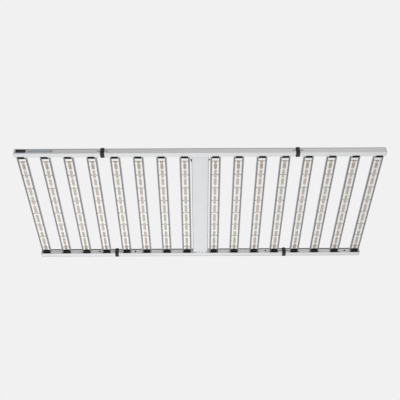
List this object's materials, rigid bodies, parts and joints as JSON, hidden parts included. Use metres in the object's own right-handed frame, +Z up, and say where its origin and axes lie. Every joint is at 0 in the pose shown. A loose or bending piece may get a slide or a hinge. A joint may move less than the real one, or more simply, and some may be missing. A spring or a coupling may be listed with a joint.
{
  "type": "led grow light",
  "caption": "Flat LED grow light: parallel light bars between two aluminium rails, a driver housing across the middle, and sliding hanger straps.",
  "frame": {"origin": "middle of the light in plan, level with the undersides of the four hanger straps", "axes": "+X along the rails to the right, +Y along the light bars away from the labelled near rail, +Z up; the LEDs face -Z"},
  "size_m": [2.383, 1.1196, 0.0563],
  "materials": {
    "rail_aluminium": "satin natural anodised",
    "bar_aluminium": "matt anodised extrusion",
    "board_white": "white solder-mask circuit board with rows of LEDs",
    "housing_silver": "fine light silver coat",
    "black_plastic": "moulded, fine texture",
    "black_steel": "black powder coat",
    "bolt_steel": "zinc plated",
    "driver_case": "cast, matt"
  },
  "bodies": {
    "light_frame": {"bar_heatsink_01": "bar_aluminium", "bar_heatsink_02": "bar_aluminium", "bar_heatsink_03": "bar_aluminium", "bar_heatsink_04": "bar_aluminium", "bar_heatsink_05": "bar_aluminium", "bar_heatsink_06": "bar_aluminium", "bar_heatsink_07": "bar_aluminium", "bar_heatsink_08": "bar_aluminium", "bar_heatsink_09": "bar_aluminium", "bar_heatsink_10": "bar_aluminium", "bar_heatsink_11": "bar_aluminium", "bar_heatsink_12": "bar_aluminium", "bar_heatsink_13": "bar_aluminium", "bar_heatsink_14": "bar_aluminium", "bar_heatsink_15": "bar_aluminium", "bar_heatsink_16": "bar_aluminium", "led_board_01": "board_white", "led_board_02": "board_white", "led_board_03": "board_white", "led_board_04": "board_white", "led_board_05": "board_white", "led_board_06": "board_white", "led_board_07": "board_white", "led_board_08": "board_white", "led_board_09": "board_white", "led_board_10": "board_white", "led_board_11": "board_white", "led_board_12": "board_white", "led_board_13": "board_white", "led_board_14": "board_white", "led_board_15": "board_white", "led_board_16": "board_white", "rail_near": "rail_aluminium", "rail_cover_near": "rail_aluminium", "bar_harness_near": "black_plastic", "led_driver_near": "driver_case", "rail_far": "rail_aluminium", "rail_cover_far": "rail_aluminium", "bar_harness_far": "black_plastic", "led_driver_far": "driver_case", "rail_end_cap_near_left": "rail_aluminium", "rail_end_cap_near_right": "rail_aluminium", "rail_end_cap_far_left": "rail_aluminium", "rail_end_cap_far_right": "rail_aluminium", "housing_clip_left": "black_plastic", "housing_clip_right": "black_plastic", "driver_housing": "housing_silver", "housing_lid": "housing_silver", "power_inlet": "black_plastic"},
    "hanger_near_left": {"hanger_strap_near_left": "black_steel", "hanger_bolt_near_left": "bolt_steel"},
    "hanger_near_right": {"hanger_strap_near_right": "black_steel", "hanger_bolt_near_right": "bolt_steel"},
    "hanger_far_left": {"hanger_strap_far_left": "black_steel", "hanger_bolt_far_left": "bolt_steel"},
    "hanger_far_right": {"hanger_strap_far_right": "black_steel", "hanger_bolt_far_right": "bolt_steel"},
    "dimmer_knob": {"dimmer_knob": "black_plastic"}
  },
  "joints": [
    {"name": "hanger_near_left_slide", "type": "slide", "parent": "light_frame", "child": "hanger_near_left", "axis": [1, 0, 0], "range_m": [-0.027, 0.027]},
    {"name": "hanger_near_right_slide", "type": "slide", "parent": "light_frame", "child": "hanger_near_right", "axis": [1, 0, 0], "range_m": [-0.027, 0.027]},
    {"name": "hanger_far_left_slide", "type": "slide", "parent": "light_frame", "child": "hanger_far_left", "axis": [1, 0, 0], "range_m": [-0.027, 0.027]},
    {"name": "hanger_far_right_slide", "type": "slide", "parent": "light_frame", "child": "hanger_far_right", "axis": [1, 0, 0], "range_m": [-0.027, 0.027]},
    {"name": "dimmer_knob_turn", "type": "hinge", "parent": "light_frame", "child": "dimmer_knob", "pos_m": [-0.026, -0.455, 0.0518], "axis": [0, 0, -1], "range_deg": [0, 270]}
  ]
}
